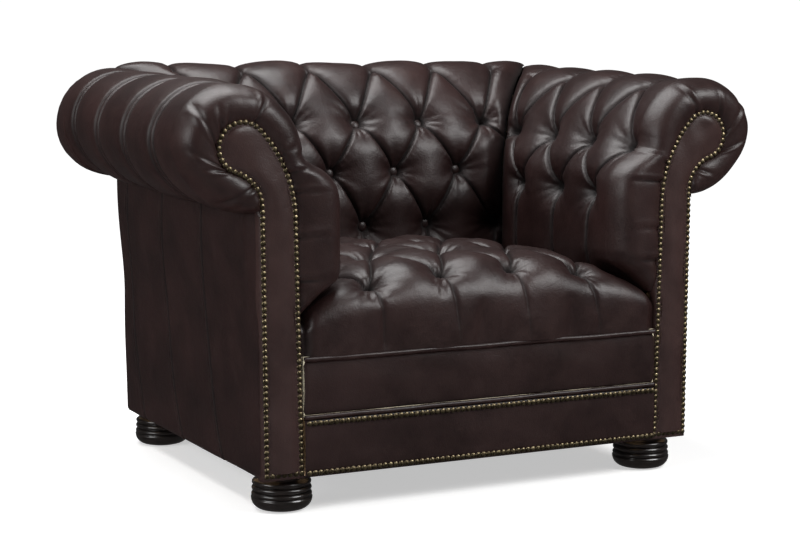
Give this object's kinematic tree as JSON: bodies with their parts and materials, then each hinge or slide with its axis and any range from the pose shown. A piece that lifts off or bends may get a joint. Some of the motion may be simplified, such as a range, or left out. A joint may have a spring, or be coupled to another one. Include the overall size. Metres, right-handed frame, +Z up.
{
  "type": "upholstered armchair",
  "caption": "Low rolled-arm club armchair with a deep-buttoned leather seat, back and arms, nail trim and turned bun feet.",
  "frame": {"origin": "on the floor, under the middle of the chair's bounding box", "axes": "+Z up, +X to the right as seen from in front of the chair, and the chair's front faces -Y"},
  "size_m": [1.12, 0.767, 0.7578],
  "materials": {
    "leather": "dark espresso brown, polished semi-gloss, fine grain",
    "facing_leather": "espresso brown with a warmer cast, pulled tight over board",
    "hardwood": "planed, unfinished",
    "plywood": "sanded, unfinished",
    "ebonised_wood": "turned, black, gloss lacquer",
    "antique_brass": "antiqued, dark in the recesses",
    "steel": "drawn wire and rolled thread, dull",
    "padding": "layered fibre and foam",
    "jute": "coarse woven jute",
    "cambric": "thin black woven cloth"
  },
  "bodies": {
    "root": {"front_rail": "hardwood", "back_rail": "hardwood", "side_rail_left": "hardwood", "side_rail_right": "hardwood", "front_post_left": "hardwood", "front_post_right": "hardwood", "rear_post_left": "hardwood", "rear_post_right": "hardwood", "arm_rail_left": "hardwood", "arm_rail_right": "hardwood", "top_rail": "hardwood", "arm_stay_rail_left": "hardwood", "arm_stay_rail_right": "hardwood", "back_stay_rail": "hardwood", "corner_blocks": "hardwood", "seat_webbing": "jute", "seat_springs": "steel", "edge_wire": "steel", "spring_twine": "jute", "spring_burlap": "jute", "back_webbing": "jute", "arm_webbing_left": "jute", "arm_webbing_right": "jute", "seat_padding": "padding", "border_padding": "padding", "back_padding": "padding", "arm_padding_left": "padding", "arm_padding_right": "padding", "seat_cover": "leather", "back_cover": "leather", "arm_cover_left": "leather", "arm_cover_right": "leather", "seat_welt": "leather", "border_welt": "leather", "front_border": "leather", "front_apron": "leather", "facing_board_left": "plywood", "facing_board_right": "plywood", "facing_leather_left": "facing_leather", "facing_leather_right": "facing_leather", "outside_arm_left": "leather", "outside_arm_right": "leather", "outside_back": "leather", "dust_cover": "cambric", "seat_buttons": "leather", "back_buttons": "leather", "arm_buttons_left": "leather", "arm_buttons_right": "leather", "facing_nails_left": "antique_brass", "facing_nails_right": "antique_brass", "upper_band_nails": "antique_brass", "lower_band_nails": "antique_brass", "foot_front_left": "ebonised_wood", "foot_front_right": "ebonised_wood", "foot_rear_left": "ebonised_wood", "foot_rear_right": "ebonised_wood", "foot_bolts": "steel", "foot_nuts": "steel"}
  },
  "joints": []
}
